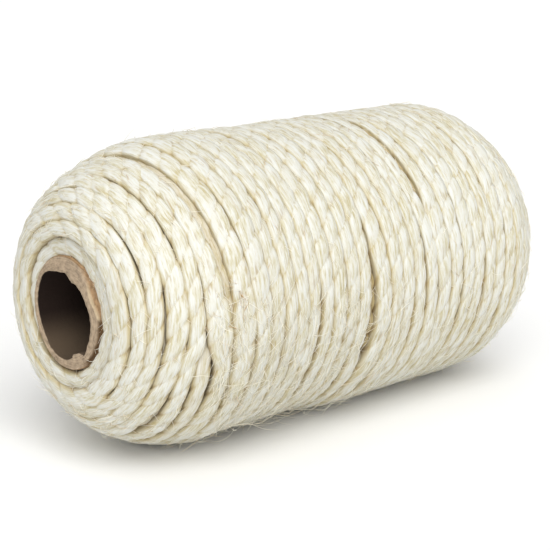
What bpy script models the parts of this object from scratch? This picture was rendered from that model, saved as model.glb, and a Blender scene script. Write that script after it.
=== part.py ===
"""Roll of sisal rope wound on a cardboard tube, lying on its side.

X runs along the tube and Z is up. The origin is the middle of the roll's footprint
on the surface that it lies on. All lengths are in metres.
"""

import math

import bmesh
import bpy

# The wound rope. Its radius is measured at the crests of the outer layer of turns.
ROLL_LENGTH = 0.210
ROLL_RADIUS = 0.055
FLAT_HALF_WIDTH = 0.008

# The rounded ends. A dome has an axial length, the radius of the level face round the
# tube, and two powers: the first rounds off the shoulder, the second fills out the face.
NEAR_DOME = {"length": 0.0390, "face_radius": 0.0220, "shoulder": 1.15, "fullness": 2.74}
FAR_DOME = {"length": 0.0330, "face_radius": 0.0240, "shoulder": 1.20, "fullness": 1.90}
DOME_STEPS = 12
FACE_RECESS = 0.0025

# The cardboard tube, squeezed a little out of round by the rope's pull.
TUBE_LENGTH = 0.2068
TUBE_HALF_HEIGHT = 0.0196
TUBE_SQUEEZE = 0.94
TUBE_WALL = 0.0040
RIM_ROUNDING = 0.0005

CLEARANCE = 0.0003
SEGMENTS = 64

AXIS_HEIGHT = math.sqrt(ROLL_RADIUS ** 2 - FLAT_HALF_WIDTH ** 2)
BORE_HALF_HEIGHT = TUBE_HALF_HEIGHT + CLEARANCE


def remove_all_objects():
    for obj in list(bpy.data.objects):
        bpy.data.objects.remove(obj, do_unlink=True)


def make_material(name, color, roughness):
    material = bpy.data.materials.new(name)
    material.use_nodes = True
    shader = material.node_tree.nodes["Principled BSDF"]
    shader.inputs["Base Color"].default_value = (*color, 1.0)
    shader.inputs["Roughness"].default_value = roughness
    shader.inputs["Metallic"].default_value = 0.0
    return material


def dome_profile(dome):
    """Points (depth from the end, radius) from the level face out to the full radius."""
    rise = ROLL_RADIUS - dome["face_radius"]
    points = []
    for step in range(DOME_STEPS + 1):
        along = (step / DOME_STEPS) ** 2
        filled = (1.0 - (1.0 - along) ** dome["shoulder"]) ** (1.0 / dome["fullness"])
        points.append((dome["length"] * along, dome["face_radius"] + rise * filled))
    return points


def winding_profile():
    """Closed outline (x, radius) of the wound rope, with the bore left for the tube."""
    half = ROLL_LENGTH / 2
    near = [(depth - half, radius) for depth, radius in dome_profile(NEAR_DOME)]
    far = [(half - depth, radius) for depth, radius in dome_profile(FAR_DOME)]
    near_mouth = (FACE_RECESS - half, BORE_HALF_HEIGHT)
    far_mouth = (half - FACE_RECESS, BORE_HALF_HEIGHT)
    return [near_mouth] + near + far[::-1] + [far_mouth]


def tube_profile():
    """Closed outline (x, radius) of the tube's wall, with its rims slightly rounded."""
    half = TUBE_LENGTH / 2
    outer = TUBE_HALF_HEIGHT
    inner = TUBE_HALF_HEIGHT - TUBE_WALL
    ease = RIM_ROUNDING
    near = [(ease - half, inner), (-half, inner + ease), (-half, outer - ease), (ease - half, outer)]
    far = [(-x, radius) for x, radius in near]
    return near + far[::-1]


def turn_about_x(name, profile, material):
    """A closed ring-shaped solid, made by turning a closed outline about the X axis."""
    bm = bmesh.new()
    verts = [bm.verts.new((x, 0.0, radius)) for x, radius in profile]
    edges = [bm.edges.new((verts[i - 1], verts[i])) for i in range(len(verts))]
    bmesh.ops.spin(
        bm,
        geom=verts + edges,
        cent=(0.0, 0.0, 0.0),
        axis=(1.0, 0.0, 0.0),
        angle=2.0 * math.pi,
        steps=SEGMENTS,
        use_merge=True,
    )
    bmesh.ops.recalc_face_normals(bm, faces=bm.faces)
    mesh = bpy.data.meshes.new(name)
    bm.to_mesh(mesh)
    bm.free()
    mesh.materials.append(material)
    mesh.shade_smooth()
    mesh.set_sharp_from_angle(angle=math.radians(40.0))
    obj = bpy.data.objects.new(name, mesh)
    bpy.context.scene.collection.objects.link(obj)
    return obj


def squeeze_sideways(obj, largest_radius):
    """Narrow the rings of a turned mesh that lie within a radius, to make them oval."""
    for vertex in obj.data.vertices:
        if math.hypot(vertex.co.y, vertex.co.z) <= largest_radius:
            vertex.co.y *= TUBE_SQUEEZE


def make_floor_cutter():
    """A block below the surface that the roll lies on, which trims its flat spot."""
    bm = bmesh.new()
    bmesh.ops.create_cube(bm, size=1.0)
    bmesh.ops.scale(bm, vec=(1.5 * ROLL_LENGTH, 2.5 * ROLL_RADIUS, ROLL_RADIUS), verts=bm.verts)
    bmesh.ops.translate(bm, vec=(0.0, 0.0, -ROLL_RADIUS / 2), verts=bm.verts)
    mesh = bpy.data.meshes.new("floor_cutter")
    bm.to_mesh(mesh)
    bm.free()
    cutter = bpy.data.objects.new("floor_cutter", mesh)
    bpy.context.scene.collection.objects.link(cutter)
    cutter.display_type = "WIRE"
    cutter.hide_render = True
    return cutter


def make_rope_winding(sisal):
    winding = turn_about_x("rope_winding", winding_profile(), sisal)
    squeeze_sideways(winding, BORE_HALF_HEIGHT + CLEARANCE)
    winding.location.z = AXIS_HEIGHT
    flat_spot = winding.modifiers.new("flat_spot", "BOOLEAN")
    flat_spot.operation = "DIFFERENCE"
    flat_spot.solver = "EXACT"
    flat_spot.object = make_floor_cutter()
    return winding


def make_core_tube(cardboard):
    tube = turn_about_x("core_tube", tube_profile(), cardboard)
    squeeze_sideways(tube, TUBE_HALF_HEIGHT)
    tube.location.z = AXIS_HEIGHT
    return tube


def main():
    remove_all_objects()
    sisal = make_material("sisal_rope", color=(0.76, 0.71, 0.56), roughness=0.75)
    cardboard = make_material("grey_cardboard", color=(0.46, 0.33, 0.22), roughness=0.9)
    make_rope_winding(sisal)
    make_core_tube(cardboard)


main()
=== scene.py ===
"""Roll of sisal rope on a cardboard tube: the visible rope, tube, loose fibres and stage."""

import functools
import math

import bmesh
import bpy
import numpy as np
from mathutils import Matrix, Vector


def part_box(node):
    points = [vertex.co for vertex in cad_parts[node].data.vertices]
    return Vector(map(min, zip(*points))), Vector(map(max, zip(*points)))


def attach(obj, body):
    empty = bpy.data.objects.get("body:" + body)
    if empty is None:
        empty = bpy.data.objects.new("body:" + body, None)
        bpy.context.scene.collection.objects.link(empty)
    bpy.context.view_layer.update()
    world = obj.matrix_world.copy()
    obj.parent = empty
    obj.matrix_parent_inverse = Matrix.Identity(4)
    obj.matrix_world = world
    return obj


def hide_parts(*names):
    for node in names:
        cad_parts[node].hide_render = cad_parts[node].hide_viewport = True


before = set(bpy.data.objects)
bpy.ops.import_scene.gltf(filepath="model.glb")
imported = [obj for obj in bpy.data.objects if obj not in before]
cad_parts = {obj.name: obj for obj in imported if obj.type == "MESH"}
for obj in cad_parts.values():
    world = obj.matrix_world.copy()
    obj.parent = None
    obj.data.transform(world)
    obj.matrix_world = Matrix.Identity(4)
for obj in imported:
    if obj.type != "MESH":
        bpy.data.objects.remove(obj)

bl_info = {
    "name": "Sisal rope roll",
    "version": (1, 0, 0),
    "blender": (4, 5, 0),
    "location": "View3D > Sidebar > Rope Roll",
    "description": "Winds three-strand sisal rope on a cardboard tube",
    "category": "Add Mesh",
}

MM = 0.001
BODY = "root"

# Places that come from the frame.
WINDING_LOW, WINDING_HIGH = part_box("rope_winding")
TUBE_LOW, TUBE_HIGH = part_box("core_tube")
ROLL_RADIUS = (WINDING_HIGH.y - WINDING_LOW.y) / 2
AXIS_Z = WINDING_HIGH.z - ROLL_RADIUS
TUBE_HALF_HEIGHT = (TUBE_HIGH.z - TUBE_LOW.z) / 2
TUBE_HALF_WIDTH = (TUBE_HIGH.y - TUBE_LOW.y) / 2
TUBE_HALF_LENGTH = (TUBE_HIGH.x - TUBE_LOW.x) / 2

# Angles round the roll are in degrees from its top over its front (-Y) side. Turns are
# counted from the near (-X) mouth, and a turn starts at the bottom of the roll.
DEGREES = 360

# The rope is drawn in runs of whole turns, so that no piece is too heavy. The columns are
# the piece's name, its last turn, the points across each strand and the step along the rope.
# The last run goes on to the rope's end.
ROPE_RUNS = (
    {"piece": "rope_near_end", "last_turn": 9, "across": 11, "step": 0.95 * MM},
    {"piece": "rope_body_near", "last_turn": 16, "across": 10, "step": 1.05 * MM},
    {"piece": "rope_body_middle", "last_turn": 23, "across": 10, "step": 1.05 * MM},
    {"piece": "rope_body_far", "last_turn": 30, "across": 9, "step": 1.1 * MM},
    {"piece": "rope_far_end", "last_turn": 99, "across": 8, "step": 1.2 * MM},
)
INNER_RUN = {"piece": "rope_inner_layer", "across": 6, "step": 1.7 * MM}
# The turns are pressed flat this high above the floor. The inner layer stays clear of it.
GROUND, INNER_GROUND = 0.02 * MM, 0.5 * MM

# Where the crease between two turns runs: millimetres from the near mouth along the roll's
# outline, at four angles. Edges that aren't listed lie evenly between their neighbours.
EDGE_ANGLES = {"top": 10.0, "upper": 50.0, "front": 90.0, "lower": 135.0}
TURN_EDGES = (
    {"edge": 0, "top": -2.8, "upper": -2.8, "front": -2.8, "lower": -2.8},
    {"edge": 1, "top": 4.8, "upper": 5.0, "front": 4.2, "lower": 3.5},
    {"edge": 2, "top": 10.2, "upper": 12.0, "front": 12.2, "lower": 10.8},
    {"edge": 3, "top": 16.7, "upper": 18.8, "front": 18.2, "lower": 15.0},
    {"edge": 4, "top": 22.9, "upper": 25.9, "front": 23.6, "lower": 20.8},
    {"edge": 5, "top": 29.8, "upper": 31.9, "front": 32.4, "lower": 27.8},
    {"edge": 6, "top": 36.0, "upper": 37.8, "front": 37.3, "lower": 38.1},
    {"edge": 7, "top": 42.0, "upper": 45.0, "front": 46.4, "lower": 50.0},
    {"edge": 8, "top": 52.0, "upper": 53.8, "front": 55.3, "lower": 58.0},
    {"edge": 9, "top": 59.8, "upper": 62.0, "front": 62.3, "lower": 65.6},
    {"edge": 10, "top": 66.2, "upper": 68.4, "front": 68.5, "lower": 71.6},
    {"edge": 13, "top": 84.8, "upper": 85.9, "front": 85.4, "lower": 87.2},
    {"edge": 17, "top": 112.2, "upper": 111.6, "front": 111.4, "lower": 114.0},
    {"edge": 18, "top": 117.8, "upper": 118.2, "front": 121.2, "lower": 122.8},
    {"edge": 22, "top": 144.2, "upper": 143.4, "front": 146.0, "lower": 149.0},
    {"edge": 23, "top": 151.0, "upper": 151.9, "front": 153.7, "lower": 155.0},
    {"edge": 25, "top": 167.2, "upper": 167.4, "front": 166.8, "lower": 166.8},
    {"edge": 29, "top": 192.6, "upper": 192.3, "front": 192.0, "lower": 192.4},
    {"edge": 31, "top": 205.4, "upper": 205.6, "front": 205.8, "lower": 206.0},
    {"edge": 38, "top": 252.4, "upper": 252.4, "front": 252.4, "lower": 252.4},
)

# Where a crease opens into a gap, in millimetres, between two angles.
GAPS = (
    {"edge": 1, "from_deg": -14, "to_deg": 22, "width": 1.0},
    {"edge": 2, "from_deg": -8, "to_deg": 12, "width": 0.7},
    {"edge": 2, "from_deg": 66, "to_deg": 138, "width": 0.9},
    {"edge": 3, "from_deg": 24, "to_deg": 68, "width": 1.3},
    {"edge": 3, "from_deg": 88, "to_deg": 120, "width": 0.7},
    {"edge": 4, "from_deg": 68, "to_deg": 104, "width": 1.1},
    {"edge": 5, "from_deg": 18, "to_deg": 56, "width": 0.4},
    {"edge": 5, "from_deg": 94, "to_deg": 155, "width": 1.4},
    {"edge": 6, "from_deg": 100, "to_deg": 185, "width": 7.4},
    {"edge": 7, "from_deg": -8, "to_deg": 82, "width": 3.0},
    {"edge": 7, "from_deg": 116, "to_deg": 150, "width": 0.9},
    {"edge": 8, "from_deg": 33, "to_deg": 76, "width": 0.8},
    {"edge": 8, "from_deg": 104, "to_deg": 150, "width": 1.4},
    {"edge": 10, "from_deg": 40, "to_deg": 52, "width": 0.6},
    {"edge": 13, "from_deg": 84, "to_deg": 134, "width": 2.6},
    {"edge": 17, "from_deg": 60, "to_deg": 84, "width": 1.2},
    {"edge": 17, "from_deg": 80, "to_deg": 118, "width": 3.6},
    {"edge": 20, "from_deg": 98, "to_deg": 114, "width": 0.9},
    {"edge": 22, "from_deg": 8, "to_deg": 58, "width": 3.3},
    {"edge": 24, "from_deg": 34, "to_deg": 76, "width": 0.8},
)
GAP_EASE_DEG = 7.0

# Where the roll has slumped or been pressed in: how far from the near mouth, over what
# reach, at what angle and how deep, in millimetres.
SLUMPS = (
    {"place": 24, "reach": 17, "deg": 245, "depth": 1.4},
    {"place": 74, "reach": 24, "deg": 167, "depth": 2.8},
    {"place": 103, "reach": 12, "deg": 160, "depth": 1.7},
)

# The bore's radius round the near mouth, in millimetres. The wall has been crushed and torn,
# so it is thick at the upper right, thin at the left, and a flap hangs in at the bottom.
BORE_MOUTH = (
    {"deg": -39, "radius": 16.3}, {"deg": -27, "radius": 14.8}, {"deg": -11, "radius": 13.7},
    {"deg": -2, "radius": 13.7}, {"deg": 7, "radius": 12.1}, {"deg": 16, "radius": 11.2},
    {"deg": 28, "radius": 11.9}, {"deg": 38, "radius": 11.7}, {"deg": 52, "radius": 11.5},
    {"deg": 69, "radius": 11.7}, {"deg": 85, "radius": 12.6}, {"deg": 105, "radius": 13.3},
    {"deg": 118, "radius": 13.7}, {"deg": 130, "radius": 14.3}, {"deg": 142, "radius": 15.6},
    {"deg": 146, "radius": 15.8}, {"deg": 152, "radius": 14.2}, {"deg": 164, "radius": 13.9},
    {"deg": 171, "radius": 15.2}, {"deg": 182, "radius": 16.6}, {"deg": 199, "radius": 17.2},
    {"deg": 216, "radius": 17.2}, {"deg": 230, "radius": 16.5}, {"deg": 253, "radius": 16.5},
    {"deg": 278, "radius": 17.0}, {"deg": 300, "radius": 17.2}, {"deg": 310, "radius": 17.2},
)

# Where loose fibres stand off the rope: how many, between which turns and angles, how long
# they are and how far their tips stand off in millimetres, how brown they are, if at all,
# and how many degrees they turn away from the rope's run, towards the near end, if they do.
FIBRE_PATCHES = (
    {"count": 1150, "turns": (0, 37), "deg": (-180, 180), "long": (3, 8), "lift": (0.05, 0.5), "brown": 0.25},
    {"count": 800, "turns": (0, 37), "deg": (10, 175), "long": (2.5, 7), "lift": (0.1, 0.6), "brown": 0.1},
    {"count": 420, "turns": (0, 37), "deg": (-180, 180), "long": (3, 9), "lift": (0.3, 1.2)},
    {"count": 160, "turns": (0, 7), "deg": (-60, 190), "long": (3, 8), "lift": (0.3, 1.3), "brown": 0.05},
    {"count": 620, "turns": (7, 19), "deg": (84, 165), "long": (4, 12), "lift": (0.6, 2.6)},
    {"count": 200, "turns": (19, 34), "deg": (90, 165), "long": (4, 10), "lift": (0.5, 2.0)},
    {"count": 160, "turns": (6, 9), "deg": (84, 124), "long": (4, 10), "lift": (0.5, 2.0)},
    {"count": 40, "turns": (7, 8), "deg": (74, 86), "long": (2, 6), "lift": (0.4, 1.8), "brown": 0.6},
    {"count": 60, "turns": (6, 8), "deg": (74, 100), "long": (3, 9), "lift": (0.6, 2.4)},
    {"count": 26, "turns": (8, 17), "deg": (150, 172), "long": (8, 18), "lift": (2.0, 6.0)},
    {"count": 26, "turns": (1, 33), "deg": (-30, 10), "long": (5, 10), "lift": (1.0, 3.0)},
    {"count": 40, "turns": (1, 12), "deg": (200, 330), "long": (4, 9), "lift": (0.8, 2.5)},
    {"count": 30, "turns": (28, 35), "deg": (20, 150), "long": (4, 8), "lift": (0.8, 2.2)},
    {"count": 3, "turns": (1, 2), "deg": (-131, -125), "long": (8, 11), "lift": (1.0, 2.0), "yaw": 90},
    {"count": 130, "turns": (2, 8), "deg": (130, 215), "long": (3, 7), "lift": (0.5, 2.2), "brown": 0.1},
    {"count": 50, "turns": (4, 14), "deg": (-40, 5), "long": (3, 7), "lift": (0.5, 2.0)},
)


def to_linear(hex_colour):
    """An sRGB colour written as hex, as linear red, green, blue and alpha."""
    values = [int(hex_colour[i:i + 2], 16) / 255 for i in (1, 3, 5)]
    linear = [v / 12.92 if v <= 0.04045 else ((v + 0.055) / 1.055) ** 2.4 for v in values]
    return (*linear, 1.0)


def number_property(name, description, default, subtype="NONE"):
    return bpy.props.FloatProperty(name=name, description=description, default=default, subtype=subtype)


def length_property(name, description, millimetres):
    return bpy.props.FloatProperty(
        name=name, description=description, default=millimetres * MM, unit="LENGTH")


def colour_property(name, description, hex_colour):
    return bpy.props.FloatVectorProperty(
        name=name, description=description, default=to_linear(hex_colour), subtype="COLOR", size=4)


class RopeSettings(bpy.types.PropertyGroup):
    diameter: length_property("Rope diameter", "Across the crests of the three strands", 6.8)
    lay: length_property("Lay", "Length in which a strand goes once round the rope", 27.0)
    strand_crease: number_property(
        "Strand crease", "Depth of the crease between two strands, as a share of the radius", 0.10, "FACTOR")
    snugness: number_property(
        "Snugness", "Less presses the turns together more, so their creases are shallower", 0.68, "FACTOR")
    inner_snugness: number_property(
        "Inner snugness", "Snugness of the inner layer, whose turns press each other less", 0.85, "FACTOR")
    squareness: number_property(
        "Squareness", "2 for a round rope; more where turns press each other flat", 2.7)
    relief: number_property(
        "Fibre relief", "How unevenly the fibre bundles stand out, as a share of the radius", 0.12, "FACTOR")
    layer_depth: length_property("Layer depth", "From the outer layer of turns to the one below", 1.6)
    layer_spacing: length_property("Inner turn spacing", "From one turn of the inner layer to the next", 8.0)
    ivory: colour_property("Ivory", "Palest, washed fibres", "#D5D6D0")
    cream: colour_property("Cream", "Main colour of the fibre", "#CFCDC1")
    buff: colour_property("Buff", "Fibres between cream and straw", "#C4BFA7")
    straw: colour_property("Straw", "Darker fibres between the pale ones", "#B5AA86")
    # Tan is the stains' own colour, and is also painted into the pits between strands as shade.
    tan: colour_property("Tan", "Stained fibres, and the pits between strands", "#9E875B")
    # The sheltered tint is partly painted shade, on the inner layer seen down the gaps.
    sheltered: colour_property("Sheltered", "Tint of fibre that other turns cover", "#E4D2B0")
    # This colour is painted shade, a little way down between two turns.
    painted_light_and_shade: colour_property("Dusty", "Fibre a little way down between two turns", "#B5A472")
    # This colour is painted shade, deep between two turns.
    deep: colour_property("Deep", "Fibre deep between two turns", "#6B5430")


class FibreSettings(bpy.types.PropertyGroup):
    thickness: length_property("Fibre thickness", "Across a loose fibre or a small bundle of them", 0.20)
    pale: colour_property("Pale", "Colour of most loose fibres", "#EEEADA")
    brown: colour_property("Brown", "Colour of the stained loose fibres", "#BC9457")


class TubeSettings(bpy.types.PropertyGroup):
    wall: length_property("Wall", "Thickness of the cardboard", 4.0)
    cardboard: colour_property("Cardboard", "Colour of the cut cardboard", "#AE9A82")
    kraft: colour_property("Kraft ply", "Colour of the outer ply", "#B0906C")
    # This colour is painted shade, for the outer ply in the shadowed strip beside the rope.
    painted_mouth_shade_colour: colour_property("Scuffed ply", "Colour of the outer ply where it is dirty and rubbed", "#5A442C")
    # This pale colour is partly the fresh tear's own and partly a painted highlight on the lip.
    lip: colour_property("Torn lip", "Colour of the fresh tear in the outer ply", "#C9B696")
    # This dark colour is painted shade: the bore is painted as dark as it looks in shadow.
    bore: colour_property("Bore", "Colour of the dark inner ply", "#241914")
    # This lighter colour is painted light, low in the bore by the mouth, where light falls in.
    dust: colour_property("Dust", "Colour of the dust that lies low in the bore", "#594B3C")


class StageSettings(bpy.types.PropertyGroup):
    key: number_property("Key light", "Strength of the broad light from above the front", 2.56)
    top: number_property("Top light", "Strength of the broad light from above", 0.62)
    side: number_property("Side light", "Strength of the broad light on the near end", 0.78)
    back: number_property("Back light", "Strength of the broad light from above the back", 0.55)
    spread: number_property("Spread", "How broad each light is", math.radians(60.0), "ANGLE")
    fill: number_property("Fill light", "Strength of the even light from all round", 0.26)
    floor: colour_property("Floor", "Colour of the floor", "#F2F2F1")


# Each light's strength is the setting of its name. These are the ways towards the lights.
LIGHTS = (
    {"light": "key", "towards": (-0.30, -0.70, 0.70)},
    {"light": "top", "towards": (-0.15, -0.25, 1.00)},
    {"light": "side", "towards": (-0.90, -0.30, 0.50)},
    {"light": "back", "towards": (0.35, 0.80, 0.65)},
)

# Where the camera stands, seen from the roll's centre, its lens, and how far left of the
# centre and below it the lens aims. The floor reaches much further than the lens sees.
CAMERA = {"azimuth": math.radians(-44.05), "elevation": math.radians(13.23), "distance": 585.6 * MM}
LENS = {"lens": 100.7, "sensor_width": 36.0, "clip_start": 0.01, "clip_end": 100.0}
AIM_LEFT, AIM_DOWN = 4.95 * MM, 4.0 * MM
FLOOR_REACH = 6.0


# ---------------------------------------------------------------- shared helpers

VECTOR_MATH = "ShaderNodeVectorMath"
NOISE = "ShaderNodeTexNoise"
COMBINE = "ShaderNodeCombineXYZ"
STORE = "GeometryNodeStoreNamedAttribute"
READ = "GeometryNodeInputNamedAttribute"
ATTRIBUTE = "ShaderNodeAttribute"
MIX = "ShaderNodeMix"
MAP_RANGE = "ShaderNodeMapRange"
COLOUR_RAMP = "ShaderNodeValToRGB"

NOISE_TABLE = 4096


def add_node(tree, kind, *inputs, named=None, output=0, **settings):
    """Adds a node, sets its properties, sets or links its inputs in order and by name, and
    returns one of its outputs. The kind is a type of node, or a Math node's operation."""
    if "Node" not in kind:
        kind, settings["operation"] = "ShaderNodeMath", kind
    node = tree.nodes.new(kind)
    for name, value in settings.items():
        setattr(node, name, value)
    for key, value in [*enumerate(inputs), *(named or {}).items()]:
        if isinstance(value, bpy.types.NodeSocket):
            tree.links.new(value, node.inputs[key])
        else:
            node.inputs[key].default_value = value
    return node.outputs[output]


def smooth_step(value, low, high):
    """Rises from 0 to 1 between two values, with eased ends."""
    share = np.clip((value - low) / (high - low), 0.0, 1.0)
    return share * share * (3.0 - 2.0 * share)


def plateau(value, start, full, fall, end):
    """Rises from 0 to 1 between two values, and falls back to 0 between two more."""
    return smooth_step(value, start, full) * (1.0 - smooth_step(value, fall, end))


def smooth_noise(position, seed):
    """Smooth random values between -1 and 1, with about one bump for each unit of position."""
    table = np.random.default_rng(seed).uniform(-1.0, 1.0, NOISE_TABLE)
    base = np.floor(position).astype(int)
    share = smooth_step(position - base, 0.0, 1.0)
    return table[base % NOISE_TABLE] * (1.0 - share) + table[(base + 1) % NOISE_TABLE] * share


def new_piece(name, vertices, edges=(), faces=()):
    """An object with its own mesh, at the origin."""
    mesh = bpy.data.meshes.new(name)
    mesh.from_pydata([tuple(v) for v in vertices], edges, faces)
    mesh.update()
    obj = bpy.data.objects.new(name, mesh)
    bpy.context.scene.collection.objects.link(obj)
    return obj


def store_columns(mesh, columns):
    """Stores numbers or vectors for each point, for a node tree or a material to read."""
    for key, values in columns.items():
        kind, field = ("FLOAT_VECTOR", "vector") if values.ndim == 2 else ("FLOAT", "value")
        attribute = mesh.attributes.new(key, kind, "POINT")
        attribute.data.foreach_set(field, values.astype(np.float32).ravel())


def rework_faces(mesh, change):
    """Runs a bmesh change on a mesh, and shades all its faces smooth."""
    bm = bmesh.new()
    bm.from_mesh(mesh)
    change(bm)
    bm.to_mesh(mesh)
    bm.free()
    mesh.polygons.foreach_set("use_smooth", [True] * len(mesh.polygons))


def new_tree(name, inputs, output):
    """A geometry node tree with its named inputs, a row of name, kind and default for each,
    and its output. Returns the tree and its inputs' sockets."""
    tree = bpy.data.node_groups.new(name, "GeometryNodeTree")
    for key, kind, default in inputs:
        socket = tree.interface.new_socket(key, in_out="INPUT", socket_type="NodeSocket" + kind)
        if default is not None:
            socket.default_value = default
    tree.interface.new_socket(output, in_out="OUTPUT", socket_type="NodeSocketGeometry")
    return tree, tree.nodes.new("NodeGroupInput").outputs


def end_tree(tree, geometry, material):
    """Ends a tree: its geometry is made real and given its material."""
    realized = add_node(tree, "GeometryNodeRealizeInstances", geometry)
    finished = add_node(tree, "GeometryNodeSetMaterial", realized, named={"Material": material})
    tree.links.new(finished, tree.nodes.new("NodeGroupOutput").inputs[0])


def apply_geometry_nodes(obj, tree, values):
    """Runs a node tree on an object and keeps the result as its plain mesh."""
    modifier = obj.modifiers.new(tree.name, "NODES")
    modifier.node_group = tree
    sockets = {item.name: item for item in tree.interface.items_tree if item.item_type == "SOCKET"}
    for name, value in values.items():
        modifier[sockets[name].identifier] = value
    obj.update_tag()
    evaluated = obj.evaluated_get(bpy.context.evaluated_depsgraph_get())
    mesh = bpy.data.meshes.new_from_object(evaluated)
    obj.modifiers.remove(modifier)
    old = obj.data
    obj.data = mesh
    mesh.name = obj.name
    bpy.data.meshes.remove(old)


def finish_piece(obj, slot, *nodes):
    """Puts a piece on the body and hides the CAD nodes that it stands in for. Its slot is not used."""
    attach(obj, BODY)
    if nodes:
        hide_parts(*nodes)


# ---------------------------------------------------------------- the rope's path

# The winding's outline is read in steps. Its crest and its outward direction are smoothed
# over so many of them, and the creases over so many degrees.
OUTLINE_STEP = 0.25 * MM
CREST_BLUR = 6
OUTWARD_BLUR = 8
CREASE_BLUR_DEG = 14
# The rope's crests stand this far out of the winding. Between its neighbours the rope is
# never squeezed thinner or spread wider than these.
CREST_RISE = 0.1 * MM
LEAST_HALF_WIDTH, MOST_HALF_WIDTH = 2.7 * MM, 4.8 * MM
# The outline starts this far outside the tube. The turns at its two ends are tucked in, and
# are oval round the tube, less so the further they are from it.
MOUTH_CLEARANCE = 1.5 * MM
MOUTH_TUCK = 2.2 * MM
MOUTH_REACH = 4.5 * MM
OVAL_REACH = 6.0 * MM
# The first and last stretches of the rope dive under their neighbours.
LEAD_TURNS = 0.35
LEAD_DEPTH = 9.0 * MM
# The turns have worked loose round this angle, and press each other more past these turns.
LOOSE_ANGLE = math.radians(140.0)
FLUSH_FROM, FLUSH_TO = 12, 22
# One turn of the inner layer lies below the longest gap, at this place and angle, and the
# layer stops short of the far mouth. One turn is about so long.
INNER_PLACE, INNER_DEG = 44.0 * MM, 40.0
INNER_STOP = 11.0 * MM
INNER_TURN_LENGTH = 300.0 * MM
# It is sunk under the near end, so that the gaps there are dark, and rises to its full height
# between these places. Between the next two its straw tint, partly painted shade, comes to full strength.
NEAR_END_SINK = 1.0 * MM
SINK_FROM, SINK_TO = 36.0 * MM, 43.0 * MM
SHELTER_FROM, SHELTER_TO = 55.0 * MM, 65.0 * MM
# One of its turns comes up between two outer turns, low on the front.
RISEN = {"edge": 2, "from_deg": 104.0, "to_deg": 196.0, "ease_deg": 12.0}
RISEN_HEIGHT = 2.7 * MM
RISEN_NARROWING = 1.2 * MM

# How the rope strays: by how much, and over how many millimetres of it. It strays sideways
# and in and out by millimetres, its twist by radians and its thickness by a share.
SWAY = ({"swing": 0.26, "over": 24}, {"swing": 0.12, "over": 9})
RISE = ({"swing": 0.30, "over": 33}, {"swing": 0.14, "over": 10})
TWIST = ({"swing": 0.5, "over": 70}, {"swing": 0.12, "over": 9})
THICKNESS = ({"swing": 0.035, "over": 22},)


def turn_at(edge, deg):
    """The counted turn at an angle, on the turn whose near crease has this number."""
    return edge + 0.5 + deg / DEGREES


def roll_angle(turn):
    """The angle round the roll at a counted turn."""
    return 2.0 * math.pi * (turn - 0.5)


def on_stretch(turn, edge, from_deg, to_deg, ease_deg):
    """1 along one stretch of a turn, and 0 elsewhere, with eased ends."""
    start, end, ease = turn_at(edge, from_deg), turn_at(edge, to_deg), ease_deg / DEGREES
    return plateau(turn, start - ease, start + ease, end - ease, end + ease)


def stray(along, swings, seed):
    """A smooth random stray, which sums swings of several lengths."""
    return sum(row["swing"] * smooth_noise(along / (row["over"] * MM), seed + i)
               for i, row in enumerate(swings))


def crest_outline():
    """Points (x, radius) along the top of the CAD winding, from its near end to its far end."""
    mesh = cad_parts["rope_winding"].data
    mouth = TUBE_HALF_HEIGHT + MOUTH_CLEARANCE
    # Only the points in the upright plane through the axis, to the nearest micrometre.
    points = {
        (round(v.co.x, 6), round(v.co.z - AXIS_Z, 6))
        for v in mesh.vertices
        if abs(v.co.y) < 1e-5 and v.co.z - AXIS_Z > mouth
    }
    return np.array(sorted(points))


def even_steps(points, step):
    """Points along a line, respaced to even steps."""
    lengths = np.concatenate([[0.0], np.cumsum(np.linalg.norm(np.diff(points, axis=0), axis=1))])
    places = np.linspace(0.0, lengths[-1], int(lengths[-1] / step) + 1)
    return np.stack([np.interp(places, lengths, column) for column in points.T], axis=1)


def blur(values, reach):
    """A running average with soft ends, over a number of steps."""
    offsets = np.arange(-3 * reach, 3 * reach + 1)
    weights = np.exp(-0.5 * (offsets / reach) ** 2)
    before = 2 * values[0] - values[3 * reach:0:-1]
    after = 2 * values[-1] - values[-2:-3 * reach - 2:-1]
    return np.convolve(np.concatenate([before, values, after]), weights / weights.sum(), mode="valid")


def centre_line(inset):
    """The line that the rope's centre follows, at even steps of the crest's own outline:
    columns x, radius and the outward direction's x and radius."""
    crest = even_steps(crest_outline(), OUTLINE_STEP)
    crest = np.stack([blur(column, CREST_BLUR) for column in crest.T], axis=1)
    ahead = np.gradient(crest, axis=0)
    outward = np.stack([blur(-ahead[:, 1], OUTWARD_BLUR), blur(ahead[:, 0], OUTWARD_BLUR)], axis=1)
    outward /= np.linalg.norm(outward, axis=1)[:, None]
    line = crest - outward * inset
    # The turns at the mouths sit a little way in, against the tube.
    end_distance = np.minimum(np.arange(len(line)), np.arange(len(line))[::-1]) * OUTLINE_STEP
    tuck = MOUTH_TUCK * np.exp(-(end_distance / MOUTH_REACH) ** 2)
    line[:, 0] -= np.sign(line[:, 0]) * tuck
    return np.concatenate([line, outward], axis=1)


def edge_place(turn):
    """Where the crease on the near side of the rope lies, for each counted turn."""
    edges = [row["edge"] for row in TURN_EDGES]
    places, values = [], []
    for edge in range(edges[0], edges[-1] + 1):
        for name, angle in EDGE_ANGLES.items():
            places.append(turn_at(edge, angle))
            values.append(np.interp(edge, edges, [row[name] for row in TURN_EDGES]))
    fine = np.arange(places[0], places[-1], 1.0 / DEGREES)
    return np.interp(turn, fine, blur(np.interp(fine, places, values), CREASE_BLUR_DEG)) * MM


def looseness(turn):
    """Where the turns have worked loose: 1 low on the front, 0 elsewhere."""
    return smooth_step(np.cos(roll_angle(turn) - LOOSE_ANGLE), 0.3, 0.9)


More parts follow.
